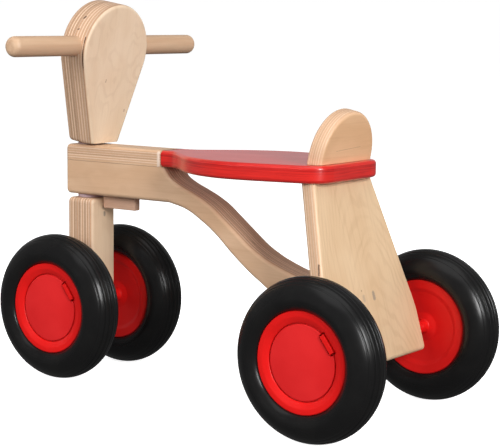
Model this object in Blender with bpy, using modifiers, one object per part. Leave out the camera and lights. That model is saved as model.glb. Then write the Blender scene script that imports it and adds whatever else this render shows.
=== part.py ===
"""Four-wheeled wooden balance bike.

Frame: the bike faces -Y, +X is the rider's left, +Z is up. The origin is on the
ground, midway between the two axles. Everything is in metres.
"""
import bpy
import bmesh
from math import radians, sin, cos, pi, tan, hypot, acos, atan2
from mathutils import Matrix, Vector

# ---------------------------------------------------------------- dimensions
GAP = 0.0003                 # between any two pieces that touch
FLAT = 0.00001               # two heights closer than this are one level
SEAT_THICK = 0.0168
BOARD_THICK = 0.0152
LOBE_THICK = 0.0170
STOCK = 0.0350               # heavy plywood: spine, post, head
ARRIS = 0.0040               # rounding of the wooden edges
SEAT_ARRIS = 0.0036
STOP_ARRIS = 0.0012

WHEEL_R = 0.0760
TYRE_HALF = 0.0224           # half the tyre's width
WAIST_R = 0.0570             # where the tyre is widest
WALL_R = 0.01436             # radial half axis of the tyre's inner wall curve
AXLE_Y = 0.1768              # axles at -AXLE_Y and +AXLE_Y
FRONT_TRACK = 0.0522         # centre line to a front wheel's middle plane
REAR_TRACK = 0.1062
AXLE_R = 0.0040
BORE_R = AXLE_R + GAP

DECK_Z = 0.2437              # top of the strip on the spine and of the seat
SPINE_LOW_Z = 0.1911         # underside of the spine's front block
SPINE_FRONT_Y = -0.1973
SPINE_CORNER = 0.0050
NOTCH_Y = -0.0680            # where the seat's front end butts on the strip
SEAT_REAR_Y = 0.1512
SEAT_UNDER_Z = DECK_Z - SEAT_THICK

BOARD_LEAN = radians(16.2)   # rear board, top forward
BOARD_FOOT_Z = 0.0552        # rear bottom arris of the rear board
BOARD_REF = (0.1841, 0.0760)  # (y, z) of a point on its rear face
BOARD_HALF = 0.0810          # half width at the wheels
BOARD_KNEE_Z = 0.0975        # above this the board tapers
BOARD_TAPER = 0.240          # half width lost per metre of height

LOBE_LEAN = radians(11.0)    # backrest, top rearward
LOBE_R = 0.0447
LOBE_BASE_Y = 0.1440         # rear face of the backrest at the seat's top
LOBE_CENTRE_UP = 0.0062      # centre of its round top above the seat

POST_HALF_X = 0.0184
POST_TOP_Z = 0.1873
POST_FOOT_Z = 0.0540
HEAD_FOOT_Z = 0.2455
HEAD_LEAN = radians(9.3)
HEAD_R = 0.0498
HEAD_CENTRE_Z = 0.3432
HEAD_FOOT_HALF = 0.0238
HEAD_Y = -0.1573             # middle plane of the head at the handlebar's height

BAR_Y = -0.1560
BAR_Z = 0.3476
BAR_R = 0.0103
BAR_HALF = 0.1415

DOWEL_R = 0.0030
PIN_R = 0.0026               # the two pins that show on the rear board
PIN_X = 0.0085
PIN_Z = 0.1158
PIN_LONG = 0.044
PIN_SHY = 0.0004             # the pins end this far below the board's face
PIN_LEAD = 0.0020            # their holes start this far outside it
SEAT_DOWEL_X = 0.026
SEAT_DOWEL_DOWN = 0.020      # length in the rear board
SEAT_DOWEL_UP = 0.011        # length in the seat
LOBE_DOWEL_X = 0.020
LOBE_DOWEL_DOWN = 0.0065
LOBE_DOWEL_UP = 0.015
STOP_DOWEL_YS = (("front", -0.1420), ("rear", -0.1280))
STOP_DOWEL_DOWN = 0.010
STOP_DOWEL_UP = 0.018
NOSE_DOWEL_FRONT = 0.020     # length in the strip
NOSE_DOWEL_REAR = 0.024      # length in the seat

STEER_ROD_R = 0.0040
ROD_LOW_Z = 0.1560
ROD_TOP_Z = 0.2900
NUT_R = 0.0050               # cross nuts on the steering rod
NUT_LOW_Z = 0.1700
NUT_HIGH_Z = 0.2720
NUT_SHALLOW = 0.0015         # the lower nut ends this far inside the post's rear face
NUT_REACH = 0.0090           # nuts' far ends from the rod's centre line
NUT_SHORT = 0.0060
BUSH_EDGE = 0.0004           # chamfer of the bushes' flanges
BUSH_R = 0.0138
SLEEVE_R = 0.0080
SLEEVE_DEEP = 0.0160

STOP_FRONT_Y = -AXLE_Y + 0.0202
STOP_LONG = 0.0440
STOP_HALF_X = 0.0043
STOP_HIGH = 0.0142

HUB_R = 0.0472               # red rim where the tyre's wall begins
HUB_HALF = 0.0166
CHANNEL_R = 0.0425           # seat of the tyre on the hub
CAP_R = 0.0357               # groove round the snap-in cap
CAP_SKIRT = 0.0024           # wall of the cap's skirt
BOSS_R = 0.0062
BOSS_END = 0.0215            # inner end of the hub's boss from the middle plane
LIP = 0.0033                 # tyre's seat is this far inside the hub's faces
WEB_S = -0.0034              # outer face of the hub's web, where the cap's skirt ends
SPACER_R = 0.0062
AXLE_PROUD = 0.0060          # axle's end past the wheel's middle plane

PUSH_NUT_R = 0.0078
PUSH_NUT_CROWN_R = 0.0056
PUSH_NUT_HIGH = 0.0036
PUSH_NUT_SHEET = 0.0004


# ------------------------------------------------------------------ materials
def material(name, colour, rough, metal=0.0):
    mat = bpy.data.materials.new(name)
    mat.use_nodes = True
    bsdf = mat.node_tree.nodes["Principled BSDF"]
    bsdf.inputs["Base Color"].default_value = (*colour, 1.0)
    bsdf.inputs["Roughness"].default_value = rough
    bsdf.inputs["Metallic"].default_value = metal
    mat.diffuse_color = (*colour, 1.0)
    return mat


BIRCH = (0.64, 0.45, 0.28)
PALE_BIRCH = (0.68, 0.49, 0.31)
BEECH = (0.52, 0.32, 0.19)
RED_PAINT = (0.62, 0.018, 0.016)
RED_PLASTIC = (0.72, 0.012, 0.010)
BLACK_RUBBER = (0.008, 0.008, 0.008)
NYLON = (0.72, 0.70, 0.74)
STEEL = (0.55, 0.55, 0.56)


# --------------------------------------------------------------------- scene
for old in list(bpy.data.objects):
    bpy.data.objects.remove(old, do_unlink=True)

scene = bpy.context.scene
parts = bpy.data.collections.new("balance_bike")
cutters = bpy.data.collections.new("cutters")
scene.collection.children.link(parts)
scene.collection.children.link(cutters)


def empty(name, location, parent=None):
    obj = bpy.data.objects.new(name, None)
    obj.empty_display_size = 0.02
    parts.objects.link(obj)
    obj.location = location
    obj.parent = parent
    return obj


steering = empty("steering_axis", (0, -AXLE_Y, 0.19))


def place(obj, location, rotation=(0, 0, 0), parent=None):
    """Set a world location and rotation; the parents are unrotated empties."""
    obj.location = location
    obj.rotation_euler = rotation
    if parent is not None:
        obj.parent = parent
        offset = Vector((0, 0, 0))
        up = parent
        while up is not None:
            offset -= Vector(up.location)
            up = up.parent
        obj.matrix_parent_inverse = Matrix.Translation(offset)
    return obj


def finish_mesh(mesh, mat, smooth_angle=35):
    mesh.materials.clear()
    mesh.materials.append(mat)
    mesh.shade_smooth()
    mesh.set_sharp_from_angle(angle=radians(smooth_angle))


def plate(name, outline, thick, mat, arris=ARRIS):
    """Flat piece: outline in local XY, thickness along local Z about zero, both rims rounded."""
    curve = bpy.data.curves.new(name, "CURVE")
    curve.dimensions = "2D"
    curve.fill_mode = "BOTH"
    curve.extrude = thick / 2
    curve.render_resolution_u = 0
    spline = curve.splines.new("POLY")
    spline.points.add(len(outline) - 1)
    for point, (x, y) in zip(spline.points, outline):
        point.co = (x, y, 0, 1)
    spline.use_cyclic_u = True
    temp = bpy.data.objects.new(name + "_curve", curve)
    scene.collection.objects.link(temp)
    bpy.context.view_layer.update()
    depsgraph = bpy.context.evaluated_depsgraph_get()
    mesh = bpy.data.meshes.new_from_object(temp.evaluated_get(depsgraph))
    bpy.data.objects.remove(temp, do_unlink=True)
    bpy.data.curves.remove(curve)
    bm = bmesh.new()
    bm.from_mesh(mesh)
    bmesh.ops.remove_doubles(bm, verts=bm.verts, dist=0.00001)
    bmesh.ops.dissolve_limit(bm, angle_limit=radians(1), verts=bm.verts, edges=bm.edges)
    bmesh.ops.recalc_face_normals(bm, faces=bm.faces)
    weight = bm.edges.layers.float.new("bevel_weight_edge")
    for edge in bm.edges:
        level = abs(edge.verts[0].co.z - edge.verts[1].co.z) < FLAT
        on_rim = any(abs(face.normal.z) < 0.5 for face in edge.link_faces)
        edge[weight] = 1.0 if level and on_rim else 0.0
    bm.to_mesh(mesh)
    bm.free()
    mesh.name = name
    obj = bpy.data.objects.new(name, mesh)
    parts.objects.link(obj)
    finish_mesh(mesh, mat)
    bevel = obj.modifiers.new("arris", "BEVEL")
    bevel.width = arris
    bevel.segments = 2
    bevel.limit_method = "WEIGHT"
    bevel.use_clamp_overlap = False
    bevel.miter_outer = "MITER_SHARP"
    return obj


def box(name, size, mat, arris=ARRIS):
    bm = bmesh.new()
    bmesh.ops.create_cube(bm, size=1.0)
    bmesh.ops.scale(bm, vec=size, verts=bm.verts)
    mesh = bpy.data.meshes.new(name)
    bm.to_mesh(mesh)
    bm.free()
    obj = bpy.data.objects.new(name, mesh)
    parts.objects.link(obj)
    finish_mesh(mesh, mat)
    if arris > 0:
        bevel = obj.modifiers.new("arris", "BEVEL")
        bevel.width = arris
        bevel.segments = 2
    return obj


def turned(name, profile, mat, steps=48):
    """Turn a closed (r, s) profile about the local Z axis, s along +Z."""
    bm = bmesh.new()
    verts = [bm.verts.new((r, 0, s)) for r, s in profile]
    for a, b in zip(verts, verts[1:] + verts[:1]):
        bm.edges.new((a, b))
    mesh = bpy.data.meshes.new(name)
    bm.to_mesh(mesh)
    bm.free()
    obj = bpy.data.objects.new(name, mesh)
    parts.objects.link(obj)
    screw = obj.modifiers.new("turn", "SCREW")
    screw.axis = "Z"
    screw.angle = 2 * pi
    screw.steps = steps
    screw.render_steps = steps
    screw.use_merge_vertices = True
    screw.merge_threshold = 0.00001
    screw.use_smooth_shade = True
    mesh.materials.append(mat)
    return obj


def rod(name, radius, length, mat, sides=24, chamfer=0.0):
    """Solid bar along local Z about its middle."""
    bm = bmesh.new()
    bmesh.ops.create_cone(bm, cap_ends=True, segments=sides, radius1=radius, radius2=radius, depth=length)
    mesh = bpy.data.meshes.new(name)
    bm.to_mesh(mesh)
    bm.free()
    obj = bpy.data.objects.new(name, mesh)
    parts.objects.link(obj)
    finish_mesh(mesh, mat)
    if chamfer > 0:
        bevel = obj.modifiers.new("ends", "BEVEL")
        bevel.width = chamfer
        bevel.segments = 3
        bevel.limit_method = "ANGLE"
        bevel.angle_limit = radians(60)
    return obj


def as_cutter(obj):
    parts.objects.unlink(obj)
    cutters.objects.link(obj)
    obj.hide_render = True
    obj.display_type = "WIRE"
    return obj


def cut(obj, cutter):
    mod = obj.modifiers.new("cut_" + cutter.name[:20], "BOOLEAN")
    mod.object = cutter
    mod.operation = "DIFFERENCE"
    mod.solver = "EXACT"


def drill(obj, radius, start, end, sides=24):
    """Straight round hole between two world points."""
    start = Vector(start)
    end = Vector(end)
    tool = as_cutter(rod("hole_in_" + obj.name, radius, (end - start).length, wood_mat, sides))
    tool.location = (start + end) / 2
    tool.rotation_euler = (end - start).to_track_quat("Z", "Y").to_euler()
    cut(obj, tool)


def trim(obj, size, location, rotation=(0, 0, 0)):
    """Saw away everything inside a block."""
    tool = as_cutter(box("saw_for_" + obj.name, size, wood_mat, arris=0))
    tool.location = location
    tool.rotation_euler = rotation
    cut(obj, tool)


# ------------------------------------------------------------------- outlines
def arc(cx, cy, r, a0, a1, count):
    return [(cx + r * cos(a0 + (a1 - a0) * i / count), cy + r * sin(a0 + (a1 - a0) * i / count))
            for i in range(count + 1)]


def smooth(points, per_span=4):
    """Catmull-Rom curve through the points."""
    out = []
    last = len(points) - 1
    for i in range(last):
        p0 = points[max(i - 1, 0)]
        p1 = points[i]
        p2 = points[i + 1]
        p3 = points[min(i + 2, last)]
        for j in range(per_span):
            t = j / per_span
            out.append(tuple(
                0.5 * (2 * b + (c - a) * t + (2 * a - 5 * b + 4 * c - d) * t * t
                       + (3 * b - a - 3 * c + d) * t ** 3)
                for a, b, c, d in zip(p0, p1, p2, p3)))
    out.append(points[-1])
    return out


def board_rear_y(z):
    return BOARD_REF[0] - tan(BOARD_LEAN) * (z - BOARD_REF[1])


def board_front_y(z):
    return board_rear_y(z) - BOARD_THICK / cos(BOARD_LEAN)


def teardrop(radius, centre, foot_half, foot, corner=0.006):
    """Round top tapering along its tangents to a narrow foot with rounded corners."""
    drop = centre - foot
    reach = hypot(foot_half, drop)
    start = atan2(-drop, foot_half) + acos(radius / reach)
    pts = arc(0, centre, radius, start, pi - start, 22)
    lean = atan2(pts[0][0] - foot_half, pts[0][1] - foot)
    turn = pi / 2 + lean
    back = corner * tan(turn / 2)
    inner_x = foot_half - back
    left = arc(-inner_x, foot + corner, corner, pi + lean, 1.5 * pi, 4)
    right = [(-x, y) for x, y in reversed(left)]
    return pts + left + right


def seat_side():
    """Left edge of the seat from its front end to the start of the rear corner."""
    return [(STOCK / 2, NOTCH_Y + GAP), (STOCK / 2 + 0.0004, -0.0600), (0.0196, -0.0510),
            (0.0258, -0.0415), (0.0355, -0.0300), (0.0520, -0.0090), (0.0640, 0.0150),
            (0.0706, 0.0430), (0.0688, 0.0740), (0.0625, 0.1050)]


def seat_outline():
    left = smooth(seat_side(), 2)
    left += smooth([left[-1], (0.0580, 0.1260), (0.0545, 0.1380), (0.0490, 0.1462),
                    (0.0415, 0.1500), (0.0320, SEAT_REAR_Y)], 2)[1:]
    return left + [(-x, y) for x, y in reversed(left)]


def spine_outline():
    """Side view of the spine, (y, z): front block, shoulder under the seat, S-curve to the rear board."""
    r = SPINE_CORNER
    top_z = 0.1257
    low_z = 0.0935
    over = smooth([(-0.0615, 0.2225), (-0.0555, 0.2160), (-0.0444, 0.2100), (-0.0315, 0.2049),
                   (-0.0184, 0.1993), (-0.0053, 0.1923), (0.0073, 0.1834), (0.0198, 0.1739),
                   (0.0324, 0.1640), (0.0448, 0.1549), (0.0572, 0.1479), (0.0697, 0.1422),
                   (0.0936, 0.1340), (0.1200, 0.1284), (board_front_y(top_z) - GAP, top_z)], 2)
    under = smooth([(board_front_y(low_z) - GAP, low_z), (0.1180, 0.0958), (0.0930, 0.1025),
                    (0.0678, 0.1140), (0.0556, 0.1216), (0.0430, 0.1296), (0.0310, 0.1386),
                    (0.0189, 0.1482), (0.0069, 0.1588), (-0.0060, 0.1688), (-0.0180, 0.1763),
                    (-0.0308, 0.1834), (-0.0436, 0.1880), (-0.0600, SPINE_LOW_Z)], 2)
    front = arc(SPINE_FRONT_Y + r, SPINE_LOW_Z + r, r, 1.5 * pi, pi, 3) + [(SPINE_FRONT_Y, DECK_Z)]
    shoulder = [(-0.0680, DECK_Z), (-0.0655, SEAT_UNDER_Z - GAP)]
    return list(reversed(front)) + list(reversed(under)) + list(reversed(over)) + list(reversed(shoulder))


def strip_outline():
    """Side view of the strip on the spine's front block, (y, z), before its underside is sawn."""
    r = SPINE_CORNER
    front = arc(SPINE_FRONT_Y + r, DECK_Z - r, r, pi / 2, pi, 3)
    return front + [(SPINE_FRONT_Y, SPINE_LOW_Z), (NOTCH_Y, SPINE_LOW_Z), (NOTCH_Y, DECK_Z)]


def board_outline():
    """Rear board in its own plane: x across, v up the board from the axle's height."""
    rise = 1 / cos(BOARD_LEAN)
    foot = (BOARD_FOOT_Z - BOARD_REF[1]) * rise
    knee = (BOARD_KNEE_Z - BOARD_REF[1]) * rise
    top = (SEAT_UNDER_Z + 0.012 - BOARD_REF[1]) * rise
    top_half = BOARD_HALF - BOARD_TAPER * (SEAT_UNDER_Z + 0.012 - BOARD_KNEE_Z)
    r = 0.004
    bend = 0.0105
    slope = (BOARD_HALF - top_half) / (top - knee)
    right = arc(BOARD_HALF - r, foot + r, r, -pi / 2, 0, 3)
    right += smooth([(BOARD_HALF, knee - bend), (BOARD_HALF - 0.0007, knee),
                     (BOARD_HALF - bend * slope, knee + bend)], 3)
    right.append((top_half, top))
    return right + [(-x, y) for x, y in reversed(right)]


def lobe_outline():
    pts = arc(0, LOBE_CENTRE_UP, LOBE_R, 0, pi, 20)
    return pts + [(-LOBE_R + 0.0004, -0.012), (LOBE_R - 0.0004, -0.012)]


# ------------------------------------------------------------ wooden frame
wood_mat = material("cutter", BIRCH, 0.6)

spine = plate("spine", spine_outline(), STOCK, material("spine", BIRCH, 0.55))
place(spine, (0, 0, 0), (pi / 2, 0, pi / 2))
trim(spine, (0.1, 0.4, 0.06), (0, 0, SEAT_UNDER_Z - GAP + 0.03))

top_strip = plate("top_strip", strip_outline(), STOCK, material("top_strip", BIRCH, 0.55))
place(top_strip, (0, 0, 0), (pi / 2, 0, pi / 2))
trim(top_strip, (0.1, 0.4, 0.06), (0, 0, SEAT_UNDER_Z - 0.03))

seat = plate("seat", seat_outline(), SEAT_THICK, material("seat", RED_PAINT, 0.35), SEAT_ARRIS)
place(seat, (0, 0, DECK_Z - SEAT_THICK / 2))

board_mid_y = BOARD_REF[0] - BOARD_THICK / 2 / cos(BOARD_LEAN)
rear_board = plate("rear_board", board_outline(), BOARD_THICK, material("rear_board", PALE_BIRCH, 0.55))
place(rear_board, (0, board_mid_y, BOARD_REF[1]), (pi / 2 + BOARD_LEAN, 0, 0))
trim(rear_board, (0.3, 0.2, 0.06), (0, 0.12, SEAT_UNDER_Z - GAP + 0.03))

lobe_mid = Vector((0, LOBE_BASE_Y - LOBE_THICK / 2 / cos(LOBE_LEAN), DECK_Z))
backrest = plate("backrest", lobe_outline(), LOBE_THICK, material("backrest", PALE_BIRCH, 0.55))
place(backrest, lobe_mid, (pi / 2 - LOBE_LEAN, 0, 0))
trim(backrest, (0.2, 0.2, 0.06), (0, lobe_mid.y, DECK_Z + GAP - 0.03))

stop_size = Vector((2 * STOP_HALF_X, STOP_LONG, STOP_HIGH - GAP))
stop_block = box("stop_block", stop_size, material("stop_block", BEECH, 0.6), STOP_ARRIS)
place(stop_block, (0, STOP_FRONT_Y + STOP_LONG / 2, SPINE_LOW_Z - GAP - stop_size.z / 2))


# ------------------------------------------------------------------- dowels
def dowel(name, radius, start, end, hosts, colour=BEECH, rough=0.6, metal=0.0, parent=None, shy=0.0):
    """Pin between two world points; its hosts are drilled a little wider and deeper."""
    start = Vector(start)
    end = Vector(end)
    line = (end - start).normalized()
    pin = rod(name, radius, (end - start).length, material(name, colour, rough, metal), 12)
    place(pin, (start + end) / 2, (end - start).to_track_quat("Z", "Y").to_euler(), parent)
    for host in hosts:
        drill(host, radius + GAP, start - line * (GAP + shy), end + line * GAP, 12)
    return pin


for side, way in (("left", 1), ("right", -1)):
    inward = Vector((0, -cos(BOARD_LEAN), -sin(BOARD_LEAN)))
    outer = Vector((way * PIN_X, board_rear_y(PIN_Z), PIN_Z)) + inward * PIN_SHY
    dowel("spine_pin_" + side, PIN_R, outer, outer + inward * PIN_LONG, [rear_board, spine], shy=PIN_LEAD)

    y = board_rear_y(SEAT_UNDER_Z) - BOARD_THICK / 2 / cos(BOARD_LEAN)
    lean = Vector((0, -sin(BOARD_LEAN), cos(BOARD_LEAN)))
    joint = Vector((way * SEAT_DOWEL_X, y, SEAT_UNDER_Z))
    dowel("seat_dowel_" + side, DOWEL_R, joint - lean * SEAT_DOWEL_DOWN, joint + lean * SEAT_DOWEL_UP,
          [rear_board, seat])

    lean = Vector((0, sin(LOBE_LEAN), cos(LOBE_LEAN)))
    joint = Vector((way * LOBE_DOWEL_X, lobe_mid.y, DECK_Z))
    dowel("backrest_dowel_" + side, DOWEL_R, joint - lean * LOBE_DOWEL_DOWN, joint + lean * LOBE_DOWEL_UP,
          [seat, backrest])

for side, y in STOP_DOWEL_YS:
    dowel("stop_dowel_" + side, DOWEL_R, (0, y, SPINE_LOW_Z - STOP_DOWEL_DOWN),
          (0, y, SPINE_LOW_Z + STOP_DOWEL_UP), [stop_block, spine])

seat_mid_z = DECK_Z - SEAT_THICK / 2
dowel("nose_dowel", DOWEL_R, (0, NOTCH_Y - NOSE_DOWEL_FRONT, seat_mid_z),
      (0, NOTCH_Y + NOSE_DOWEL_REAR, seat_mid_z), [top_strip, seat])

# --------------------------------------------------------- post and head
post_high = POST_TOP_Z - POST_FOOT_Z
post = box("post", (2 * POST_HALF_X, STOCK, post_high), material("post", PALE_BIRCH, 0.55), arris=0.0040)
place(post, (0, -AXLE_Y, POST_FOOT_Z + post_high / 2), parent=steering)

rise = 1 / cos(HEAD_LEAN)
head_shape = teardrop(HEAD_R, (HEAD_CENTRE_Z - BAR_Z) * rise, HEAD_FOOT_HALF, (HEAD_FOOT_Z - BAR_Z) * rise)
head = plate("head", head_shape, STOCK, material("head", PALE_BIRCH, 0.55))
place(head, (0, HEAD_Y, BAR_Z), (pi / 2 - HEAD_LEAN, 0, 0), parent=steering)
trim(head, (0.2, 0.2, 0.06), (0, HEAD_Y, HEAD_FOOT_Z - 0.03))

bar = rod("handlebar", BAR_R, 2 * BAR_HALF, material("handlebar", PALE_BIRCH, 0.5), 24, chamfer=0.004)
place(bar, (0, BAR_Y, BAR_Z), (0, pi / 2, 0), parent=steering)
drill(head, BAR_R + GAP, (-0.08, BAR_Y, BAR_Z), (0.08, BAR_Y, BAR_Z), 24)

# steering rod, its two cross nuts and the flanged bushes
rod_mat = material("steering_rod", STEEL, 0.35, 1.0)
steer_rod = rod("steering_rod", STEER_ROD_R, ROD_TOP_Z - ROD_LOW_Z, rod_mat, 16)
place(steer_rod, (0, -AXLE_Y, (ROD_TOP_Z + ROD_LOW_Z) / 2), parent=steering)
drill(post, STEER_ROD_R + GAP, (0, -AXLE_Y, ROD_LOW_Z - 0.004), (0, -AXLE_Y, POST_TOP_Z + 0.01), 16)
drill(head, STEER_ROD_R + GAP, (0, -AXLE_Y, HEAD_FOOT_Z - 0.01), (0, -AXLE_Y, ROD_TOP_Z + 0.004), 16)
for host in (spine, top_strip):
    drill(host, SLEEVE_R + GAP, (0, -AXLE_Y, SPINE_LOW_Z - 0.01), (0, -AXLE_Y, DECK_Z + 0.01), 20)

for name, host, z, near, far in (
        ("cross_nut_lower", post, NUT_LOW_Z, -AXLE_Y - NUT_REACH, -AXLE_Y + STOCK / 2 - NUT_SHALLOW),
        ("cross_nut_upper", head, NUT_HIGH_Z, -AXLE_Y - NUT_SHORT, -AXLE_Y + NUT_REACH)):
    nut = rod(name, NUT_R, far - near, material(name, STEEL, 0.4, 1.0), 16)
    place(nut, (0, (near + far) / 2, z), (pi / 2, 0, 0), parent=steering)
    if host is post:
        drill(host, NUT_R + GAP, (0, near - GAP, z), (0, -AXLE_Y + 0.03, z), 16)
    else:
        drill(host, NUT_R + GAP, (0, -AXLE_Y - 0.03, z), (0, far + GAP, z), 16)
    drill(nut, STEER_ROD_R + GAP, (0, -AXLE_Y, z - 0.01), (0, -AXLE_Y, z + 0.01), 16)

bore = STEER_ROD_R + GAP
for name, seat_z, flange_z, way in (("steering_bush_upper", DECK_Z, HEAD_FOOT_Z, 1),
                                    ("steering_bush_lower", SPINE_LOW_Z, POST_TOP_Z, -1)):
    thick = abs(flange_z - seat_z) - 2 * GAP
    profile = [(BUSH_R, thick - BUSH_EDGE), (BUSH_R, BUSH_EDGE), (BUSH_R - BUSH_EDGE, 0), (SLEEVE_R, 0),
               (SLEEVE_R, -SLEEVE_DEEP), (bore, -SLEEVE_DEEP), (bore, thick), (BUSH_R - BUSH_EDGE, thick)]
    bush = turned(name, profile, material(name, NYLON, 0.45), 20)
    flip = 0 if way > 0 else pi
    place(bush, (0, -AXLE_Y, seat_z + way * GAP), (flip, 0, 0))


# -------------------------------------------------------------------- wheels
def tyre_profile():
    """Round section, widest at the waist, on a channel seat; s runs along the axle."""
    outer = []
    count = 10
    for i in range(count + 1):
        a = pi * i / count
        bulge = sin(a) ** 1.3 if 0 < i < count else 0.0
        outer.append((WAIST_R + (WHEEL_R - WAIST_R) * bulge, TYRE_HALF * cos(a)))
    bead = HUB_R + GAP
    wall = []
    for share in (0.35, 0.70, 1.0):
        down = (WAIST_R - bead) * share
        wall.append((WAIST_R - down, TYRE_HALF * (1 - (down / WALL_R) ** 2) ** 0.5))
    wall += [(bead, HUB_HALF - LIP), (CHANNEL_R + GAP, HUB_HALF - LIP)]
    return outer + [(r, -s) for r, s in wall] + list(reversed(wall))


def hub_profile():
    """Rim channel, web with a cap pocket on the outer side, boss on the inner side."""
    lip = HUB_HALF - LIP + GAP
    return [
        (HUB_R - 0.0010, HUB_HALF), (HUB_R, HUB_HALF - 0.0010), (HUB_R, lip), (CHANNEL_R, lip),
        (CHANNEL_R, -lip), (HUB_R, -lip), (HUB_R, -HUB_HALF + 0.0010), (HUB_R - 0.0010, -HUB_HALF),
        (0.0385, -HUB_HALF + 0.0014), (0.0350, -HUB_HALF + 0.0034), (0.0140, -0.0096),
        (BOSS_R + 0.0014, -0.0112), (BOSS_R, -BOSS_END + 0.0010), (BOSS_R - 0.0008, -BOSS_END),
        (BORE_R, -BOSS_END), (BORE_R, -0.0010), (0.0325, WEB_S - 0.0006), (CAP_R, WEB_S - 0.0006),
        (CAP_R, HUB_HALF - 0.0012), (CAP_R + 0.0012, HUB_HALF - 0.0002)]


def cap_profile():
    """Domed snap-in disc with a skirt."""
    r = CAP_R - GAP
    top = HUB_HALF - 0.0002
    return [(0.0, top + 0.0014), (0.0120, top + 0.0012), (0.0240, top + 0.0006), (r - 0.0014, top - 0.0002),
            (r, top - 0.0014), (r, WEB_S), (r - CAP_SKIRT, WEB_S), (r - CAP_SKIRT, top - 0.0030),
            (0.0, top - 0.0018)]


def nut_profile():
    return [(PUSH_NUT_R, PUSH_NUT_SHEET), (PUSH_NUT_R, 0), (BORE_R, 0), (BORE_R, PUSH_NUT_HIGH),
            (PUSH_NUT_CROWN_R, PUSH_NUT_HIGH)]


for where, y, track, wood_x, holder in (("front", -AXLE_Y, FRONT_TRACK, POST_HALF_X, steering),
                                        ("rear", AXLE_Y, REAR_TRACK, BOARD_HALF, None)):
    half_axle = track + AXLE_PROUD
    axle = rod(where + "_axle", AXLE_R, 2 * half_axle, material(where + "_axle", STEEL, 0.35, 1.0), 16)
    place(axle, (0, y, WHEEL_R), (0, pi / 2, 0), parent=holder)
    host = post if where == "front" else rear_board
    drill(host, BORE_R, (-0.12, y, WHEEL_R), (0.12, y, WHEEL_R), 16)
    for side, way in (("left", 1), ("right", -1)):
        tag = where + "_" + side
        hub_at = (way * track, y, WHEEL_R)
        spin = empty("wheel_" + tag, (0, 0, 0), holder)
        turn = (0, way * pi / 2, 0)
        if holder is not None:
            spin.location = Vector(hub_at) - Vector(holder.location)
        else:
            spin.location = hub_at
        tyre = turned("tyre_" + tag, tyre_profile(), material("tyre_" + tag, BLACK_RUBBER, 0.45), 32)
        place(tyre, hub_at, turn, parent=spin)
        hub = turned("hub_" + tag, hub_profile(), material("hub_" + tag, RED_PLASTIC, 0.3), 24)
        place(hub, hub_at, turn, parent=spin)
        cap = turned("cap_" + tag, cap_profile(), material("cap_" + tag, RED_PLASTIC, 0.3), 24)
        place(cap, hub_at, turn, parent=spin)
        nut = turned("push_nut_" + tag, nut_profile(), material("push_nut_" + tag, STEEL, 0.3, 1.0), 16)
        place(nut, (way * (track - 0.0010 + GAP), y, WHEEL_R), turn, parent=holder)
        long = track - BOSS_END - wood_x - 2 * GAP
        collar = [(SPACER_R, long / 2), (SPACER_R, -long / 2), (BORE_R, -long / 2), (BORE_R, long / 2)]
        spacer = turned("spacer_" + tag, collar, material("spacer_" + tag, NYLON, 0.45), 16)
        place(spacer, (way * (wood_x + GAP + long / 2), y, WHEEL_R), turn, parent=holder)
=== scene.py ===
"""Looks for the balance bike: finished wood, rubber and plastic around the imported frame.

The bike faces -Y, +X is the rider's left and +Z is up, in metres. Outlines and places come
from the frame's nodes, and the sizes below are the ones that the nodes are built on.
"""
import bmesh
import bpy
from math import acos, atan2, cos, hypot, pi, radians, sin, tan
from mathutils import Matrix, Vector


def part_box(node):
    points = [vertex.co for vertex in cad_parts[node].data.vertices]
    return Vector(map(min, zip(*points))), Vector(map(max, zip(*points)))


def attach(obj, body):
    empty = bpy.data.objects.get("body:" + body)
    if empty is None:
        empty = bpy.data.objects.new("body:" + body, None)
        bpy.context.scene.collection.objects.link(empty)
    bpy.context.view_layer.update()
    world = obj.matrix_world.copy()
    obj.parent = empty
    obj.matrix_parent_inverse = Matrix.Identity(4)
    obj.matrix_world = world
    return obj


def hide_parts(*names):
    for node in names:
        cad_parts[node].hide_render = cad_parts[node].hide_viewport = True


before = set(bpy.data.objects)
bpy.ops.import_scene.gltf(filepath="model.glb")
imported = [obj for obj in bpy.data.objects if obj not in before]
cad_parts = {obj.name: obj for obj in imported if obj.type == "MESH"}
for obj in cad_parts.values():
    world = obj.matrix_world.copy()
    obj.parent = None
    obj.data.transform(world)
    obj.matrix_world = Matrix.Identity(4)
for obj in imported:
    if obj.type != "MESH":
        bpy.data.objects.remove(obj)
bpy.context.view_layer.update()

# ---------------------------------------------------------------- driving sizes
GAP = 0.0003                       # between any two pieces that touch
ARRIS = 0.0040                     # rounding of the wooden edges
STOCK = 0.0350                     # heavy plywood: spine, post and head
BOARD_THICK = 0.0152
LOBE_THICK = 0.0170

SEAT_LOW, SEAT_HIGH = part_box("seat")
DECK_Z = SEAT_HIGH.z
SEAM_Z = SEAT_LOW.z                # the strip's underside, level with the seat's
SEAT_THICK = SEAT_HIGH.z - SEAT_LOW.z
NOTCH_Y = SEAT_LOW.y - GAP         # the seat's front end butts on the strip here
SPINE_FRONT_LOW_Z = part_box("stop_block")[1].z + GAP      # underside of the spine's front block

WHEEL_R = 0.0760
TYRE_HALF = 0.0224
WAIST_R = 0.0570
WALL_R = 0.01436
HUB_R = 0.0472
HUB_HALF = 0.0166
CHANNEL_R = 0.0425
CAP_R = 0.0357
BOSS_R = 0.0062
SPACER_R = 0.0062
BOSS_END = 0.0215
BORE_R = 0.0043                    # wheels, spacers and bushes, around their axle or rod
SLEEVE_R = 0.0080                  # steering bushes, in their bore in the spine

BOARD_LEAN = radians(16.2)         # rear board, top forward
LOBE_LEAN = radians(11.0)          # backrest, top rearward
HEAD_LEAN = radians(9.3)           # head, foot forward


def centre(node_name):
    low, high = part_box(node_name)
    return (low + high) / 2


STEER_Y = centre("steering_rod").y


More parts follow.
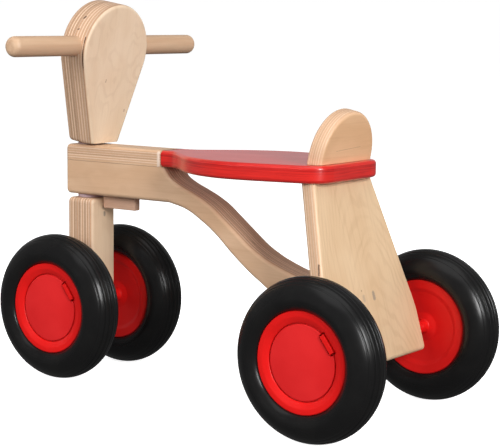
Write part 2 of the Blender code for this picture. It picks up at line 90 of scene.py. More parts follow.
# ------------------------------------------------------------------ node helpers
def node(tree, kind, inputs=None, **settings):
    """Add a shader node; an input is a number, a colour or another node's socket."""
    new = tree.nodes.new("ShaderNode" + kind)
    for key, value in settings.items():
        setattr(new, key, value)
    for key, value in (inputs or {}).items():
        if isinstance(value, bpy.types.NodeSocket):
            tree.links.new(value, new.inputs[key])
        else:
            new.inputs[key].default_value = value
    return new


def calc(tree, operation, a, b=0.0, clamp=False):
    return node(tree, "Math", {0: a, 1: b}, operation=operation, use_clamp=clamp).outputs[0]


def times(tree, a, b):
    return calc(tree, "MULTIPLY", a, b)


def ramp(tree, factor, low, high):
    """0 below low, 1 above high, smooth between."""
    return node(tree, "MapRange", {"Value": factor, "From Min": low, "From Max": high},
                interpolation_type="SMOOTHSTEP").outputs[0]


def spread(tree, factor, low, high):
    """Turn 0..1 into low..high."""
    return node(tree, "MapRange", {"Value": factor, "To Min": low, "To Max": high}).outputs[0]


def blend(tree, factor, a, b):
    new = tree.nodes.new("ShaderNodeMix")
    new.data_type = "RGBA"
    for index, value in ((0, factor), (6, a), (7, b)):
        if isinstance(value, bpy.types.NodeSocket):
            tree.links.new(value, new.inputs[index])
        else:
            new.inputs[index].default_value = (*value, 1.0) if index else value
    return new.outputs[2]


def noise(tree, vector, cells, detail=2.0, rough=0.5, warp=0.0):
    """Noise on a stretched vector, with that many cells per metre along each axis."""
    stretched = node(tree, "Mapping", {"Vector": vector, "Scale": cells})
    return node(tree, "TexNoise", {"Vector": stretched.outputs[0], "Scale": 1.0, "Detail": detail,
                                   "Roughness": rough, "Distortion": warp}).outputs["Fac"]


def axis(tree, vector, index):
    return node(tree, "SeparateXYZ", {0: vector}).outputs[index]


def new_material(name):
    mat = bpy.data.materials.new(name)
    mat.use_nodes = True
    return mat, mat.node_tree, mat.node_tree.nodes["Principled BSDF"]


AT_ORIGIN = ((0, 0, 0), (0, 0, 0))


def local(tree, at=AT_ORIGIN):
    """Coordinates in the frame of a board that lies at a location and rotation."""
    coord = node(tree, "TexCoord")
    return node(tree, "Mapping", {"Vector": coord.outputs["Object"], "Location": at[0], "Rotation": at[1]},
                vector_type="TEXTURE").outputs[0]


def turned_vector(tree, vector, turn, shift=(0, 0, 0)):
    return node(tree, "Mapping", {"Vector": vector, "Rotation": turn, "Location": shift}).outputs[0]


def finish_surface(tree, shader, colour, height, depth, rough):
    tree.links.new(colour, shader.inputs["Base Color"])
    bump = node(tree, "Bump", {"Height": height, "Distance": depth, "Strength": 1.0})
    tree.links.new(bump.outputs[0], shader.inputs["Normal"])
    tree.links.new(rough, shader.inputs["Roughness"])


# --------------------------------------------------------------------- materials
BIRCH_PALE = (0.800, 0.590, 0.405)
BIRCH_DEEP = (0.715, 0.490, 0.310)
BIRCH_LINE = (0.520, 0.320, 0.185)
BIRCH_CORE = (0.380, 0.215, 0.125)
# pale sanded birch; on the arris it also serves as a painted highlight
SANDED_BIRCH_AND_ARRIS_HIGHLIGHT = (0.800, 0.630, 0.510)
PLY_LONG = (0.850, 0.620, 0.445)   # edge of a veneer that runs along the edge
PLY_CROSS = (0.660, 0.390, 0.240)  # end grain of a crossed veneer
GLUE = (0.270, 0.140, 0.075)
KNOT = (0.085, 0.038, 0.020)
PLUG = (0.380, 0.285, 0.215)
PIN_END = (0.560, 0.400, 0.270)
WHITE = (1.0, 1.0, 1.0, 1.0)
HEAVY_VENEERS = 19                 # in 35 mm plywood
THIN_VENEERS = 13                  # in 17 mm plywood
BOARD_VENEERS = 11                 # in 15 mm plywood


def tinted(colour, tint):
    return tuple(a * b for a, b in zip(colour, tint))


def veneer(tree, vector, seed, tint, figure, streaks):
    """Colour and height of a birch face: rings that may arch, fibres, flecks and mottling."""
    strength, wild, arches, middle = figure
    line = tinted(BIRCH_LINE, tint)
    moved = node(tree, "VectorMath", {0: vector, 1: (seed, seed * 1.7, 0.0)}, operation="ADD").outputs[0]
    wander = noise(tree, moved, (22.0, 34.0, 0.0), 2.0, 0.35)
    across = calc(tree, "SUBTRACT", axis(tree, vector, 1), middle)
    bow = times(tree, times(tree, across, across), 11000.0)
    climb = times(tree, axis(tree, vector, 0), 330.0)
    rise = times(tree, calc(tree, "ADD", climb, bow), arches)
    phase = calc(tree, "ADD", times(tree, wander, wild), rise)
    rings = ramp(tree, calc(tree, "SINE", phase), -0.20, 1.0)
    patchy = ramp(tree, noise(tree, moved, (18.0, 30.0, 5.0), 1.0), 0.35, 0.65)
    rings = times(tree, rings, patchy)
    cloud = noise(tree, moved, (16.0, 34.0, 0.0), 2.0, 0.5, 0.3)
    fibre = noise(tree, moved, (40.0, 1100.0, 1100.0), 3.0, 0.6)
    streak = noise(tree, moved, (8.0, 260.0, 0.0), 2.0, 0.5)
    fleck = ramp(tree, noise(tree, moved, (240.0, 2400.0, 2400.0), 1.0), 0.66, 0.80)
    colour = blend(tree, times(tree, ramp(tree, cloud, 0.30, 0.75), 0.65), tinted(BIRCH_PALE, tint),
                   tinted(BIRCH_DEEP, tint))
    colour = blend(tree, times(tree, rings, 0.17 * strength), colour, line)
    colour = blend(tree, times(tree, ramp(tree, streak, 0.50, 0.80), 0.22 * streaks), colour, line)
    colour = blend(tree, times(tree, ramp(tree, fibre, 0.40, 0.75), 0.12), colour, line)
    colour = blend(tree, times(tree, fleck, 0.25), colour, line)
    height = calc(tree, "SUBTRACT", times(tree, fibre, 0.6), fleck)
    return colour, height


def hashed(tree, number, seed=0.0):
    """A number from 0 to 1 for each layer."""
    key = calc(tree, "ADD", number, seed)
    return node(tree, "TexWhiteNoise", {"W": key}, noise_dimensions="1D").outputs[0]


def plies(tree, vector, thick, veneers, seed, face, face_height, contrast, rim):
    """Lay the veneers of a board: the face outside, then crossed plies and glue lines."""
    through = axis(tree, vector, 2)
    inward = calc(tree, "SUBTRACT", thick / 2 + 0.00001, calc(tree, "ABSOLUTE", through))
    sway = noise(tree, vector, (14.0, 14.0, 0.0), 1.0)
    depth = times(tree, inward, veneers / thick)
    depth = calc(tree, "ADD", depth, times(tree, calc(tree, "SUBTRACT", sway, 0.5), 0.35))
    layer = calc(tree, "FLOOR", depth)
    sided = times(tree, layer, calc(tree, "SIGN", through))
    crossed = calc(tree, "MODULO", layer, 2.0)
    grit = noise(tree, vector, (420.0, 420.0, 260.0), 3.0, 0.7)
    streak = noise(tree, vector, (26.0, 26.0, 1500.0), 2.0, 0.6)
    edge = blend(tree, crossed, PLY_LONG, PLY_CROSS)
    dark = times(tree, ramp(tree, hashed(tree, sided, seed), 0.35, 1.0), 0.45)
    dark = calc(tree, "ADD", dark, times(tree, ramp(tree, grit, 0.45, 0.8), 0.20))
    dark = calc(tree, "ADD", dark, times(tree, ramp(tree, streak, 0.5, 0.8), 0.35))
    edge = blend(tree, dark, edge, BIRCH_CORE)
    near_seam = calc(tree, "LESS_THAN", calc(tree, "FRACT", depth), 0.20)
    strength = spread(tree, hashed(tree, sided, seed + 7.3), 0.15, 0.85)
    edge = blend(tree, times(tree, near_seam, strength), edge, GLUE)
    # Just inside the face veneer the edge turns the pale sanded colour, partly a painted highlight on the
    # arris; rim sets how much.
    sanded_arris_and_highlight = blend(tree, rim, face, SANDED_BIRCH_AND_ARRIS_HIGHLIGHT)
    colour = blend(tree, ramp(tree, depth, 0.15, 0.60), face, sanded_arris_and_highlight)
    shown = times(tree, ramp(tree, depth, 0.8, 1.5), contrast)
    colour = blend(tree, shown, colour, edge)
    height = calc(tree, "SUBTRACT", face_height, times(tree, times(tree, dark, shown), 0.8))
    return colour, height


def spot(tree, vector, start, end, radius):
    """1 within a ragged radius of the line from start to end in the board's frame."""
    start = Vector(start)
    run = Vector(end) - start
    off = node(tree, "VectorMath", {0: vector, 1: start}, operation="SUBTRACT").outputs[0]
    along = node(tree, "VectorMath", {0: off, 1: run / run.length_squared}, operation="DOT_PRODUCT")
    share = calc(tree, "ADD", along.outputs["Value"], 0.0, clamp=True)
    foot = node(tree, "VectorMath", {0: run, "Scale": share}, operation="SCALE").outputs[0]
    away = node(tree, "VectorMath", {0: off, 1: foot}, operation="DISTANCE").outputs["Value"]
    ragged = times(tree, noise(tree, vector, (900.0, 900.0, 900.0), 2.0), 0.9 * radius)
    away = calc(tree, "ADD", away, ragged)
    return calc(tree, "SUBTRACT", 1.0, ramp(tree, away, 0.9 * radius, 1.5 * radius))


def varnish(shader, weight=0.06, rough=0.40):
    shader.inputs["Coat Weight"].default_value = weight
    shader.inputs["Coat Roughness"].default_value = rough


PLAIN_FIGURE = (1.0, 24.0, 0.0, 0.0)


def plywood(name, at, thick, veneers, grain_up=False, seed=0.0, contrast=1.0, rim=0.15,
            figure=PLAIN_FIGURE, streaks=1.0, marks=(), tint=(1, 1, 1)):
    """Varnished birch plywood.

    figure is the strength of the growth rings, how wildly they run, how much they arch and
    the line they arch about. contrast is how strongly the plies show on the edge, rim how
    pale the arris is: sanded wood plus a painted highlight. A mark is the (start, end,
    radius, colour) of a knot, a void, a pin or a filled hole.
    """
    mat, tree, shader = new_material(name)
    own = local(tree, at)
    vector = turned_vector(tree, own, (0, 0, -pi / 2) if grain_up else (0, 0, 0))
    face, face_height = veneer(tree, vector, seed, tint, figure, streaks)
    colour, height = plies(tree, vector, thick, veneers, seed, face, face_height, contrast, rim)
    for start, end, radius, stain in marks:
        hit = spot(tree, own, start, end, radius)
        colour = blend(tree, times(tree, hit, 0.9), colour, stain)
        height = calc(tree, "SUBTRACT", height, hit)
    finish_surface(tree, shader, colour, height, 0.00005, spread(tree, face_height, 0.42, 0.56))
    varnish(shader)
    return mat


def solid_wood(name, light, dark, seed, turn, lines):
    """Turned or sawn solid wood, grain along x after the turn."""
    mat, tree, shader = new_material(name)
    vector = turned_vector(tree, local(tree), turn, (seed, seed * 0.6, seed * 0.3))
    broad = noise(tree, vector, (6.0, 120.0, 120.0), 3.0, 0.6, 0.4)
    fibre = noise(tree, vector, (60.0, 1500.0, 1500.0), 3.0, 0.6)
    pore = ramp(tree, noise(tree, vector, (300.0, 2600.0, 2600.0), 1.0), 0.62, 0.78)
    colour = blend(tree, ramp(tree, broad, 0.30, 0.70), light, dark)
    colour = blend(tree, times(tree, ramp(tree, fibre, 0.4, 0.8), lines), colour, dark)
    colour = blend(tree, times(tree, pore, lines), colour, BIRCH_LINE)
    height = calc(tree, "SUBTRACT", times(tree, fibre, 0.6), pore)
    finish_surface(tree, shader, colour, height, 0.00005, spread(tree, fibre, 0.40, 0.56))
    varnish(shader)
    return mat


RED_LIGHT = (0.780, 0.020, 0.013)
RED_DARK = (0.430, 0.004, 0.005)


def red_lacquer(name, at):
    """Red stain and lacquer on plywood: the plies still show on the edge."""
    mat, tree, shader = new_material(name)
    vector = turned_vector(tree, local(tree, at), (0, 0, -pi / 2))
    fibre = noise(tree, vector, (40.0, 900.0, 900.0), 3.0, 0.6)
    cloud = noise(tree, vector, (18.0, 40.0, 40.0), 2.0)
    through = axis(tree, vector, 2)
    layer = calc(tree, "FLOOR", times(tree, through, THIN_VENEERS / SEAT_THICK))
    tone = hashed(tree, layer)
    streak = noise(tree, vector, (22.0, 22.0, 1100.0), 2.0, 0.6)
    face = SEAT_THICK / 2
    near_face = ramp(tree, calc(tree, "ABSOLUTE", through), face - 0.0012, face - 0.0002)
    edge = calc(tree, "SUBTRACT", 1.0, near_face)
    lines = calc(tree, "ADD", times(tree, ramp(tree, tone, 0.35, 0.9), 0.55),
                 times(tree, ramp(tree, streak, 0.45, 0.70), 0.75))
    lines = calc(tree, "MULTIPLY", times(tree, lines, edge), 0.75, clamp=True)
    colour = blend(tree, times(tree, ramp(tree, cloud, 0.3, 0.8), 0.20), RED_LIGHT, RED_DARK)
    colour = blend(tree, times(tree, ramp(tree, fibre, 0.4, 0.8), 0.12), colour, RED_DARK)
    colour = blend(tree, lines, colour, RED_DARK)
    height = calc(tree, "SUBTRACT", fibre, times(tree, lines, 0.8))
    finish_surface(tree, shader, colour, height, 0.00004, spread(tree, cloud, 0.34, 0.42))
    varnish(shader, 0.85, 0.26)
    return mat


def moulded(name, light, dark, rough_low, rough_high, shine=0.5):
    """Moulded plastic: faint flow clouds in the colour, fine spark-eroded texture in the bump."""
    mat, tree, shader = new_material(name)
    vector = local(tree)
    cloud = noise(tree, vector, (28.0, 28.0, 28.0), 2.0)
    grit = noise(tree, vector, (2400.0, 2400.0, 2400.0), 2.0, 0.6)
    colour = blend(tree, ramp(tree, cloud, 0.3, 0.75), light, dark)
    finish_surface(tree, shader, colour, grit, 0.00001, spread(tree, grit, rough_low, rough_high))
    shader.inputs["Specular IOR Level"].default_value = shine
    return mat


def rubber(name):
    """Black tyre rubber: satin, with a dry bloom and a fine skin."""
    mat, tree, shader = new_material(name)
    vector = local(tree)
    cloud = noise(tree, vector, (35.0, 35.0, 35.0), 4.0, 0.6, 0.3)
    skin = noise(tree, vector, (1500.0, 1500.0, 1500.0), 3.0, 0.6)
    colour = blend(tree, ramp(tree, cloud, 0.35, 0.75), (0.0085, 0.0083, 0.0085), (0.0110, 0.0107, 0.0105))
    finish_surface(tree, shader, colour, skin, 0.000002, spread(tree, cloud, 0.22, 0.29))
    shader.inputs["Specular IOR Level"].default_value = 0.25
    return mat


def steel(name, tint):
    """Bright zinc-plated steel with drawn lines along x and cloudy passivation."""
    mat, tree, shader = new_material(name)
    vector = local(tree)
    cloud = noise(tree, vector, (160.0, 160.0, 160.0), 3.0)
    drawn = noise(tree, vector, (80.0, 4000.0, 4000.0), 2.0)
    colour = blend(tree, cloud, tint, tuple(0.72 * c for c in tint))
    finish_surface(tree, shader, colour, drawn, 0.00001, spread(tree, drawn, 0.22, 0.48))
    shader.inputs["Metallic"].default_value = 1.0
    return mat


# ----------------------------------------------------------------- outline tools
def arc(cx, cy, r, a0, a1, count):
    return [(cx + r * cos(a0 + (a1 - a0) * i / count), cy + r * sin(a0 + (a1 - a0) * i / count))
            for i in range(count + 1)]


def section(name, point, normal):
    """Longest loop in which a plane cuts a CAD node, as points in the row frame."""
    bm = bmesh.new()
    bm.from_mesh(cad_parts[name].data)
    bmesh.ops.remove_doubles(bm, verts=bm.verts, dist=0.00001)
    geom = bm.verts[:] + bm.edges[:] + bm.faces[:]
    found = bmesh.ops.bisect_plane(bm, geom=geom, plane_co=point, plane_no=normal)["geom_cut"]
    edges = {item for item in found if isinstance(item, bmesh.types.BMEdge)}
    loops = []
    while edges:
        edge = edges.pop()
        vert = edge.verts[1]
        loop = [edge.verts[0].co.copy(), vert.co.copy()]
        while True:
            step = next((e for e in vert.link_edges if e in edges), None)
            if step is None:
                break
            edges.discard(step)
            vert = step.other_vert(vert)
            loop.append(vert.co.copy())
        loops.append(loop[:-1])
    bm.free()
    return max(loops, key=lambda loop: sum((a - b).length for a, b in zip(loop, loop[1:])))


def straightened(points, slack=radians(1.0)):
    """Drop the points that a straight edge doesn't need."""
    apart = [p for i, p in enumerate(points) if (p - points[i - 1]).length > 0.00002]
    count = len(apart)
    return [p for i, p in enumerate(apart)
            if (p - apart[i - 1]).angle(apart[(i + 1) % count] - p) > slack]


def refined(points, parts=4, corner=radians(38), longest=0.03):
    """Smooth closed curve through the points; turns sharper than corner stay sharp."""
    count = len(points)
    out = []
    for i in range(count):
        p0, p1, p2, p3 = (points[(i + k) % count] for k in (-1, 0, 1, 2))
        span = p2 - p1
        start = p2 - p0 if (p1 - p0).angle(span) < corner else span
        end = p3 - p1 if span.angle(p3 - p2) < corner else span
        start = start.normalized() * span.length
        end = end.normalized() * span.length
        steps = parts if span.length < longest else 1
        for j in range(steps):
            t = j / steps
            out.append(p1 * (2 * t ** 3 - 3 * t * t + 1) + start * (t ** 3 - 2 * t * t + t)
                       + p2 * (3 * t * t - 2 * t ** 3) + end * (t ** 3 - t * t))
    return out


def rectangle(half_wide, half_long):
    return [(half_wide, -half_long), (half_wide, half_long), (-half_wide, half_long),
            (-half_wide, -half_long)]


def rounded(points, radius, steps):
    """Closed polygon with each corner replaced by a short curve."""
    out = []
    count = len(points)
    for i in range(count):
        here = Vector(points[i])
        back = Vector(points[i - 1]) - here
        on = Vector(points[(i + 1) % count]) - here
        cut = min(radius, 0.45 * back.length, 0.45 * on.length)
        a = here + back.normalized() * cut
        b = here + on.normalized() * cut
        for j in range(steps + 1):
            t = j / steps
            out.append(tuple(a * (1 - t) ** 2 + here * 2 * t * (1 - t) + b * t * t))
    return out


# ------------------------------------------------------------------- mesh tools
def link(obj):
    bpy.context.scene.collection.objects.link(obj)
    return obj


def made(name, bm, mat):
    """Object from a bmesh, which is freed."""
    mesh = bpy.data.meshes.new(name)
    bm.to_mesh(mesh)
    bm.free()
    mesh.materials.append(mat)
    return link(bpy.data.objects.new(name, mesh))


def applied(obj):
    """Bake the modifiers into the mesh."""
    bpy.context.view_layer.update()
    ready = obj.evaluated_get(bpy.context.evaluated_depsgraph_get())
    mesh = bpy.data.meshes.new_from_object(ready)
    obj.modifiers.clear()
    obj.data = mesh
    return obj


def even_normals(obj):
    """Flat faces stay flat beside their rounded arrises."""
    obj.data.set_sharp_from_angle(angle=radians(40))
    weighted = obj.modifiers.new("normals", "WEIGHTED_NORMAL")
    weighted.keep_sharp = True
    return obj


def bevelled(obj, arris, segments):
    """Round the edges that carry a bevel weight."""
    bevel = obj.modifiers.new("arris", "BEVEL")
    bevel.width = arris
    bevel.segments = segments
    bevel.limit_method = "WEIGHT"
    bevel.use_clamp_overlap = False
    bevel.miter_outer = "MITER_SHARP"
    return applied(obj)


def laid(obj, at):
    """Move the mesh to a location and rotation; the object itself stays at the origin."""
    obj.location, obj.rotation_euler = at
    bpy.context.view_layer.update()
    obj.data.transform(obj.matrix_world)
    obj.matrix_world = Matrix.Identity(4)
    return obj


def plate(name, outline, thick, mat, at, arris=ARRIS, segments=6, saws=()):
    """Board with rounded rims: outline in its own XY, thickness along its Z about zero.

    A saw is a (point, normal) in the row frame; what lies beyond it is cut away.
    """
    bm = bmesh.new()
    weight = bm.edges.layers.float.new("bevel_weight_edge")
    low = [bm.verts.new((x, y, -thick / 2)) for x, y in outline]
    high = [bm.verts.new((x, y, thick / 2)) for x, y in outline]
    rims = list(bm.faces.new(low).edges) + list(bm.faces.new(high).edges)
    for i in range(len(outline)):
        bm.faces.new((low[i - 1], low[i], high[i], high[i - 1]))
    bmesh.ops.recalc_face_normals(bm, faces=bm.faces)
    for edge in rims:
        edge[weight] = 1.0
    obj = laid(bevelled(made(name, bm, mat), arris, segments), at)
    for point, normal in saws:
        saw(obj, point, normal)
    obj.data.shade_smooth()
    return even_normals(obj)


def saw(obj, point, normal):
    bm = bmesh.new()
    bm.from_mesh(obj.data)
    cut = bmesh.ops.bisect_plane(bm, geom=bm.verts[:] + bm.edges[:] + bm.faces[:], clear_outer=True,
                                 plane_co=point, plane_no=normal)
    edges = [item for item in cut["geom_cut"] if isinstance(item, bmesh.types.BMEdge)]
    bmesh.ops.holes_fill(bm, edges=edges, sides=0)
    bm.to_mesh(obj.data)
    bm.free()


def turned(name, profile, mat, location, rotation, steps=128):
    """Turn a closed (r, s) profile about local Z, s along +Z."""
    bm = bmesh.new()
    verts = [bm.verts.new((max(r, 0.0), 0, s)) for r, s in profile]
    for a, b in zip(verts, verts[1:] + verts[:1]):
        bm.edges.new((a, b))
    obj = made(name, bm, mat)
    obj.location = location
    obj.rotation_euler = rotation
    screw = obj.modifiers.new("turn", "SCREW")
    screw.axis = "Z"
    screw.angle = 2 * pi
    screw.steps = steps
    screw.render_steps = steps
    screw.use_merge_vertices = True
    screw.merge_threshold = 0.000001
    screw.use_smooth_shade = True
    return obj


def carved(piece, cutter):
    """Take a cutter's volume out of a piece."""
    cut = piece.modifiers.new("cut", "BOOLEAN")
    cut.object = cutter
    cut.solver = "EXACT"
    return even_normals(applied(piece))


def bored_for_steering(piece):
    """Bore an upright hole, for the bushes and the rod, through a board of the frame."""
    radius = SLEEVE_R + GAP
    low, high = 0.15, 0.30         # well below the board and well above it
    column = [(0.0, high), (radius, high), (radius, low), (0.0, low)]
    drill = applied(turned("drill", column, piece.data.materials[0], (0, STEER_Y, 0), (0, 0, 0), 48))
    carved(piece, drill)
    bpy.data.objects.remove(drill, do_unlink=True)


def put(piece, body, slot, *nodes):
    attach(piece, body)
    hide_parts(*nodes)


# ---------------------------------------------------------------- wooden frame
UPRIGHT = ((0, 0, 0), (pi / 2, 0, pi / 2))       # own x along +Y, own y up, own z to the left
SIDE_CUT_X = 0.0125                # clear of the bores in the middle of the spine


def side_section(name, seam_z, push):
    """Side outline (y, z) of a node of the spine, its sawn seam pushed away by push."""
    cut = section(name, (SIDE_CUT_X, 0, 0), (1, 0, 0))
    points = refined(straightened([Vector((p.y, p.z)) for p in cut]))
    return [(p.x, p.y + push if abs(p.y - seam_z) < 0.00005 else p.y) for p in points]


def make_spine():
    slit = ((0.0298, 0.1650, 0.0068), (0.0422, 0.1560, 0.0052), 0.0008, KNOT)
    mat = plywood("spine_wood", UPRIGHT, STOCK, HEAVY_VENEERS, seed=3.1, contrast=0.9, rim=0.1,
                  figure=(1.0, 16.0, 0.03, 0.205), marks=[slit], tint=(0.90, 0.81, 0.76))
    piece = plate("spine_board", side_section("spine", SEAM_Z - GAP, 0.02), STOCK, mat, UPRIGHT,
                  saws=[((0, 0, SEAM_Z - GAP), (0, 0, 1))])
    bored_for_steering(piece)
    put(piece, "frame", "spine_ply", "spine")


def make_top_strip():
    half = SEAT_THICK / 2
    flat = ((0, 0, SEAM_Z + half), (0, 0, pi / 2))
    end = NOTCH_Y - 0.0030
    # A pale band down each side at the strip's rear end, in the sanded colour that also serves as the
    # painted arris highlight.
    patch = [((end, side, -half), (end, side, half), 0.0022, SANDED_BIRCH_AND_ARRIS_HIGHLIGHT)
             for side in (-STOCK / 2, STOCK / 2)]
    mat = plywood("strip_wood", flat, SEAT_THICK, THIN_VENEERS, seed=4.4, contrast=0.8, rim=0.0,
                  marks=patch, tint=(0.90, 0.83, 0.79))
    piece = plate("strip_board", side_section("top_strip", SEAM_Z, -0.02), STOCK, mat, UPRIGHT,
                  saws=[((0, 0, SEAM_Z), (0, 0, -1))])
    bored_for_steering(piece)
    put(piece, "frame", "spine_ply", "top_strip")


def make_seat():
    mid_z = (SEAT_LOW.z + SEAT_HIGH.z) / 2
    cut = section("seat", (0, 0, mid_z + 0.0040), (0, 0, 1))       # above the nose dowel's hole
    loop = refined(straightened([Vector((p.x, p.y)) for p in cut]), 5)
    at = ((0, 0, mid_z), (0, 0, 0))
    outline = [tuple(p) for p in loop]
    piece = plate("seat_board", outline, SEAT_THICK, red_lacquer("seat_red", at), at, 0.0036)
    put(piece, "frame", "red_seat_paint", "seat")


BOARD_REF = (0.1841, 0.0760)       # (y, z) of a point on the rear board's rear face
BOARD_HALF = 0.0810
BOARD_KNEE_Z = 0.0975
BOARD_FOOT_Z = 0.0552
BOARD_TAPER = 0.240                # half width lost per metre of height
BOARD_CORNER = 0.0046


def board_outline():
    """Rear board in its own plane: x across, y up the board from the axle's height."""
    rise = 1 / cos(BOARD_LEAN)
    top_z = SEAT_LOW.z + 0.012
    foot, knee, top = ((z - BOARD_REF[1]) * rise for z in (BOARD_FOOT_Z, BOARD_KNEE_Z, top_z))
    top_half = BOARD_HALF - BOARD_TAPER * (top_z - BOARD_KNEE_Z)
    bend = 0.0105
    slope = (BOARD_HALF - top_half) / (top - knee)
    right = arc(BOARD_HALF - BOARD_CORNER, foot + BOARD_CORNER, BOARD_CORNER, -pi / 2, 0, 6)
    start = Vector((BOARD_HALF, knee - bend))
    turn = Vector((BOARD_HALF, knee))
    end = Vector((BOARD_HALF - bend * slope, knee + bend))
    for j in range(13):
        t = j / 12
        right.append(tuple(start * (1 - t) ** 2 + turn * 2 * t * (1 - t) + end * t * t))
    right.append((top_half, top))
    return right + [(-x, y) for x, y in reversed(right)]


def make_rear_board():
    mid_y = BOARD_REF[0] - BOARD_THICK / 2 / cos(BOARD_LEAN)
    at = ((0, mid_y, BOARD_REF[1]), (pi / 2 + BOARD_LEAN, 0, 0))
    rear = -BOARD_THICK / 2
    marks = [((0.0092, 0.0395, rear), (0.0092, 0.0430, rear), 0.0025, PIN_END),
             ((-0.0083, 0.0395, rear), (-0.0083, 0.0440, rear), 0.0030, PLUG),
             ((0.0108, 0.0486, rear), (0.0108, 0.0492, rear), 0.0009, BIRCH_CORE),
             ((0.0671, 0.0810, -0.0050), (0.0693, 0.0716, -0.0042), 0.0010, KNOT)]
    mat = plywood("rear_board_ply", at, BOARD_THICK, BOARD_VENEERS, grain_up=True, seed=11.3,
                  contrast=0.8, rim=0.12, figure=(1.25, 22.0, 1.0, 0.018), marks=marks,
                  tint=(1.0, 0.97, 0.885))
    piece = plate("rear_panel", board_outline(), BOARD_THICK, mat, at,
                  saws=[((0, 0, SEAT_LOW.z - GAP), (0, 0, 1))])
    put(piece, "frame", "birch_ply", "rear_board")


LOBE_R = 0.0447
LOBE_CENTRE_UP = 0.0062
LOBE_BASE_Y = 0.1440               # rear face of the backrest at the seat's top


def make_backrest():
    outline = arc(0, LOBE_CENTRE_UP, LOBE_R, 0, pi, 64) + [(-LOBE_R, -0.012), (LOBE_R, -0.012)]
    mid_y = LOBE_BASE_Y - LOBE_THICK / 2 / cos(LOBE_LEAN)
    at = ((0, mid_y, DECK_Z), (pi / 2 - LOBE_LEAN, 0, 0))
    rear = -LOBE_THICK / 2
    line = ((0.0220, 0.0139, rear), (-0.0193, 0.0161, rear), 0.0002, BIRCH_CORE)
    mat = plywood("backrest_ply", at, LOBE_THICK, THIN_VENEERS, seed=5.2, contrast=0.6,
                  marks=[line], tint=(1.05, 0.88, 0.735))
    piece = plate("backrest_lobe", outline, LOBE_THICK, mat, at,
                  saws=[((0, 0, DECK_Z + GAP), (0, 0, -1))])
    put(piece, "frame", "birch_ply", "backrest")


def make_stop_block():
    low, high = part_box("stop_block")
    outline = rounded(rectangle((high.x - low.x) / 2, (high.y - low.y) / 2), 0.0022, 4)
    mat = solid_wood("stop_wood", (0.700, 0.450, 0.320), (0.560, 0.320, 0.215), 1.3,
                     turn=(0, 0, pi / 2), lines=0.5)
    at = (centre("stop_block"), (0, 0, 0))
    piece = plate("stop_block_wood", outline, high.z - low.z, mat, at, 0.0014, 4)
    put(piece, "frame", "beech", "stop_block")


# --------------------------------------------------------------- fork and bar
HEAD_R = 0.04975
HEAD_CENTRE_Z = 0.3432
HEAD_FOOT_HALF = 0.0238
HEAD_Y = -0.1573                   # middle plane of the head at the handlebar's height
BAR_Z = centre("handlebar").z
HEAD_FOOT_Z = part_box("head")[0].z


def teardrop(radius, middle, foot_half, foot, corner=0.006):
    """Round top tapering along its tangents to a narrow foot with rounded corners."""
    drop = middle - foot
    start = atan2(-drop, foot_half) + acos(radius / hypot(foot_half, drop))
    top = arc(0, middle, radius, start, pi - start, 80)
    lean = atan2(top[0][0] - foot_half, top[0][1] - foot)
    inner_x = foot_half - corner * tan((pi / 2 + lean) / 2)
    left = arc(-inner_x, foot + corner, corner, pi + lean, 1.5 * pi, 8)
    return top + left + [(-x, y) for x, y in reversed(left)]


def make_head():
    rise = 1 / cos(HEAD_LEAN)
    outline = teardrop(HEAD_R, (HEAD_CENTRE_Z - BAR_Z) * rise, HEAD_FOOT_HALF,
                       (HEAD_FOOT_Z - BAR_Z) * rise)
    at = ((0, HEAD_Y, BAR_Z), (pi / 2 - HEAD_LEAN, 0, 0))
    rear = -STOCK / 2
    marks = [((0.0474, 0.0110, -0.0136), (0.0497, -0.0060, -0.0142), 0.0010, KNOT),
             ((0.0497, -0.0060, -0.0142), (0.0481, -0.0175, -0.0150), 0.0011, KNOT),
             ((0.0481, -0.0175, -0.0150), (0.0443, -0.0320, -0.0160), 0.0010, KNOT),
             ((0.0356, 0.0302, -0.0006), (0.0374, 0.0286, 0.0004), 0.0013, KNOT),
             ((0.0446, 0.0176, -0.0012), (0.0446, 0.0168, -0.0002), 0.0010, KNOT),
             ((0.0118, -0.0328, rear), (0.0124, -0.0354, rear), 0.0007, BIRCH_CORE),
             ((-0.0229, -0.0660, rear), (-0.0229, -0.0676, rear), 0.0009, BIRCH_CORE)]
    mat = plywood("head_ply", at, STOCK, HEAVY_VENEERS, grain_up=True, seed=1.9, contrast=1.1,
                  rim=0.0, figure=(1.0, 60.0, 0.0, 0.0), streaks=0.15, marks=marks,
                  tint=(1.09, 1.16, 1.23))
    piece = plate("head_board", outline, STOCK, mat, at, saws=[((0, 0, HEAD_FOOT_Z), (0, 0, -1))])
    put(piece, "fork", "birch_ply", "head")


def make_post():
    low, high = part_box("post")
    outline = rounded(rectangle((high.x - low.x) / 2, (high.z - low.z) / 2), 0.0056, 6)
    middle = centre("post")
    at = (middle, (pi / 2, 0, 0))
    rear = -STOCK / 2
    plug_z = centre("cross_nut_lower").z - middle.z
    plug = ((-0.0011, plug_z - 0.0012, rear), (-0.0011, plug_z + 0.0012, rear), 0.0021, PLUG)
    mat = plywood("post_ply", at, STOCK, HEAVY_VENEERS, grain_up=True, seed=8.4, marks=[plug])
    piece = plate("post_board", outline, high.y - low.y, mat, at)
    put(piece, "fork", "birch_ply", "post")


def make_handlebar():
    low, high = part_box("handlebar")
    half = (high.x - low.x) / 2
    radius = (high.z - low.z) / 2
    end = 0.0066
    tip = arc(radius - end, half - end, end, 0, pi / 2, 10)
    profile = tip + [(0.0, half), (0.0, -half)] + [(r, -s) for r, s in reversed(tip)]
    mat = solid_wood("bar_wood", (0.700, 0.475, 0.310), (0.600, 0.380, 0.235), 2.2,
                     turn=(0, pi / 2, 0), lines=0.25)
    piece = turned("handlebar_dowel", profile, mat, centre("handlebar"), (0, pi / 2, 0), 72)
    put(piece, "fork", "birch_dowel", "handlebar")


def nylon(name):
    return moulded(name + "_nylon", (0.500, 0.360, 0.380), (0.420, 0.290, 0.310), 0.40, 0.52)


